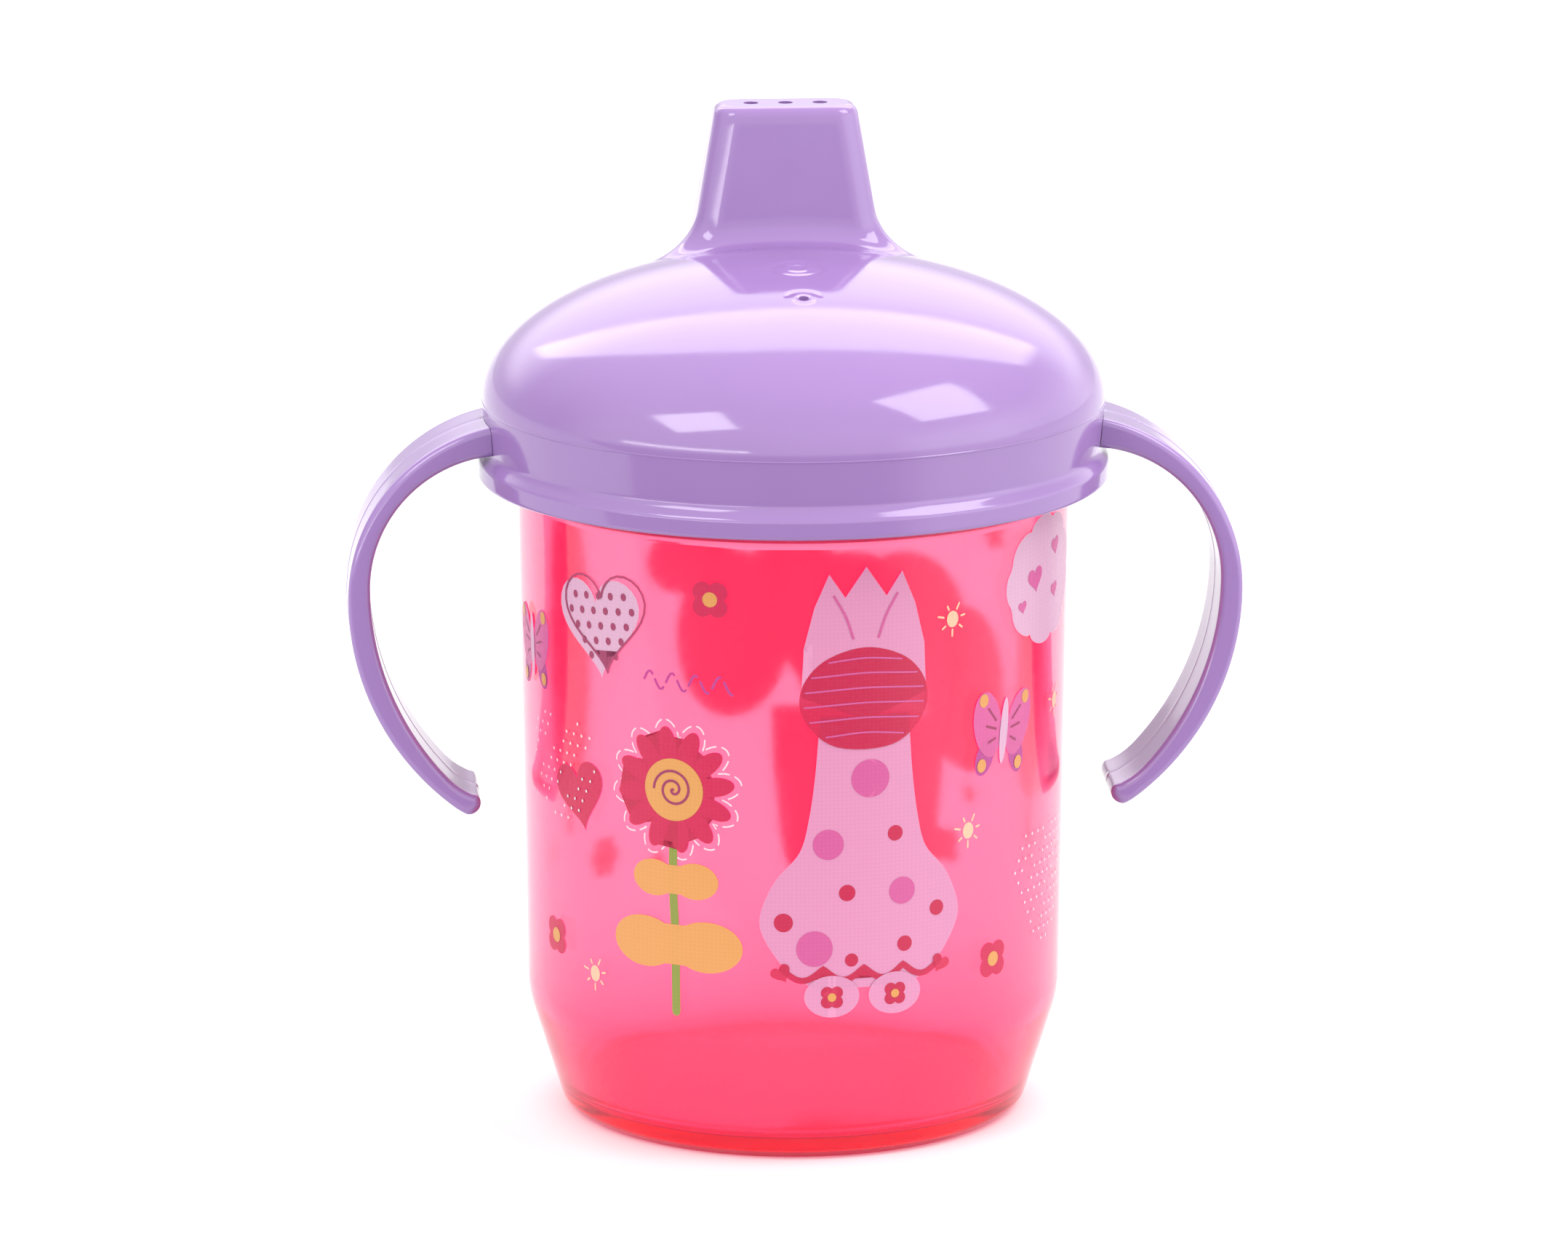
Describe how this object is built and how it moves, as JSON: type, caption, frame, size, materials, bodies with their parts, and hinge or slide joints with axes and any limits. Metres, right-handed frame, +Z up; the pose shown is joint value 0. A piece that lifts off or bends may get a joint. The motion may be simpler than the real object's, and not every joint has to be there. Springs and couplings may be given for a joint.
{
  "type": "sippy cup",
  "caption": "Small child's training cup: tapered translucent tumbler, domed screw lid with a flat spout, open strap handles, silicone spill valve and seal ring.",
  "frame": {"origin": "centre of the cup's base, on the plane that the cup stands on", "axes": "+Z up along the cup's axis; the handles lie along X; the spout is towards +Y, which faces the drinker"},
  "size_m": [0.1136, 0.08, 0.127],
  "materials": {
    "cup": "translucent glossy pink polypropylene with a printed pattern",
    "lid": "glossy lilac polypropylene",
    "handles": "glossy lilac polypropylene",
    "seal": "milky silicone rubber",
    "valve": "milky silicone rubber"
  },
  "bodies": {
    "cup": {"cup_body": "cup"},
    "seal": {"seal_ring": "seal"},
    "lid": {"lid": "lid", "handle_left": "handles", "handle_right": "handles"},
    "valve": {"spill_valve": "valve"}
  },
  "joints": [
    {"name": "lid_lift", "type": "slide", "parent": "cup", "child": "seal", "axis": [0, 0, 1], "range_m": [0, 0.0101]},
    {"name": "lid_turn", "type": "hinge", "parent": "seal", "child": "lid", "pos_m": [0, 0, 0.0925], "axis": [0, 0, 1], "range_deg": [0, 360]},
    {"name": "valve_pull", "type": "slide", "parent": "lid", "child": "valve", "axis": [0, 0, -1], "range_m": [0, 0.015]}
  ],
  "couplings": [
    {"joint": "lid_lift", "follows": "lid_turn", "m_per_rad": 0.0015915}
  ]
}
